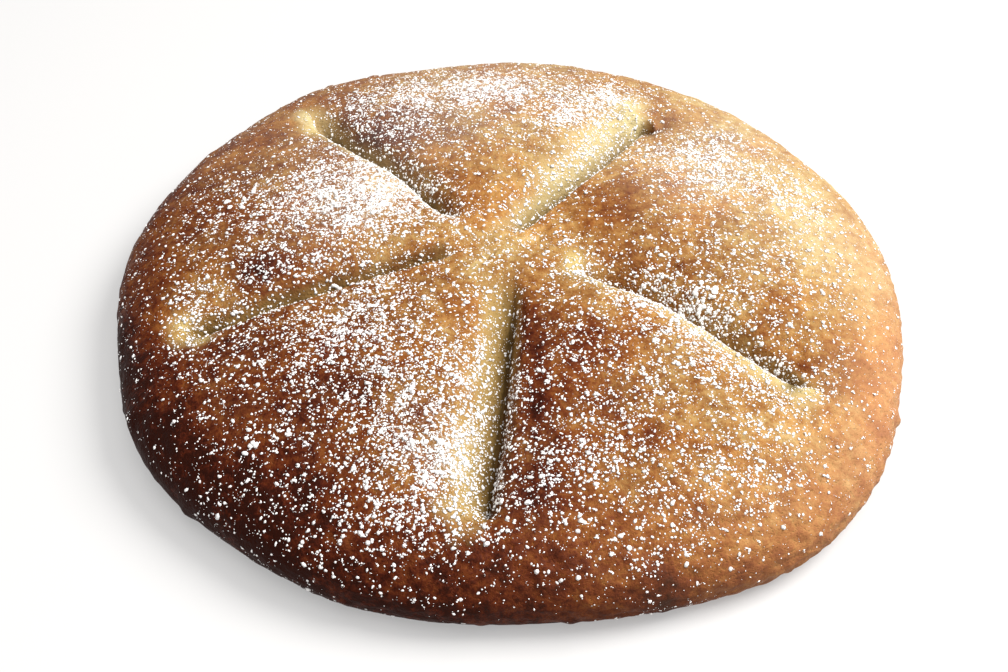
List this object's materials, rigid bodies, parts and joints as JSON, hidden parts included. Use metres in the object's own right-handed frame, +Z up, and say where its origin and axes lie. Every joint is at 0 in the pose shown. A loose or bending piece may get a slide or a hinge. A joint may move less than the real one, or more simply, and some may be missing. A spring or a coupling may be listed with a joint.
{
  "type": "sweet flatbread",
  "caption": "Round, low domed sweet bread with deep cuts opening from the middle towards an uncut rim, golden to dark brown crust, icing sugar dusting and a flat base.",
  "frame": {"origin": "on the table under the middle of the loaf: the centre of the outline's box, at the level of the flat base", "axes": "+Z up out of the loaf, -Y towards the side whose cut runs straight to the front rim, +X to the right of that cut"},
  "size_m": [0.2618, 0.2626, 0.0381],
  "materials": {
    "crust": "satin",
    "icing_sugar": "matte"
  },
  "bodies": {
    "root": {"flatbread": "crust"}
  },
  "joints": []
}
